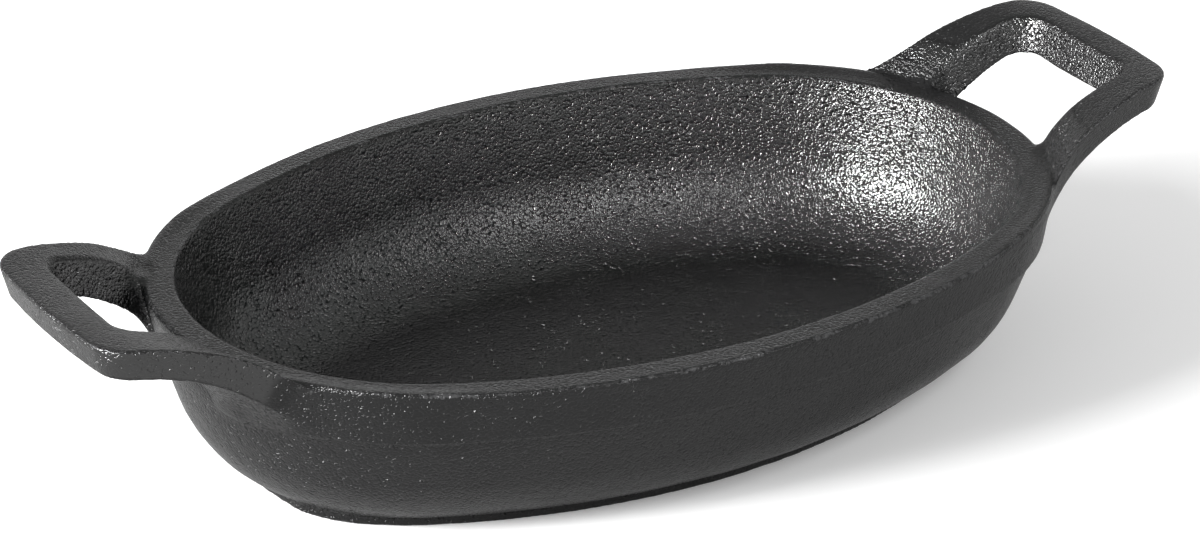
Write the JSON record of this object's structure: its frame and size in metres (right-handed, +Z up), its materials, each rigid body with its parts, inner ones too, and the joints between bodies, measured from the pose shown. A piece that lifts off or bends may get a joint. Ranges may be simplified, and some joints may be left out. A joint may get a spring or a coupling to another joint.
{
  "type": "oval cast iron pan",
  "caption": "Small oval cast iron pan with a flat rim, sloping walls, a low oval foot and a raised loop handle at each end.",
  "frame": {"origin": "on the table, under the middle of the bowl", "axes": "+X along the pan's length towards the right handle, +Y across it towards the far rim, +Z up"},
  "size_m": [0.2008, 0.1048, 0.0406],
  "materials": {
    "iron": "seasoned, sand-cast grain, satin black"
  },
  "bodies": {
    "root": {"base_foot": "iron", "cooking_floor": "iron", "side_wall": "iron", "rim_band": "iron", "left_handle": "iron", "right_handle": "iron"}
  },
  "joints": []
}
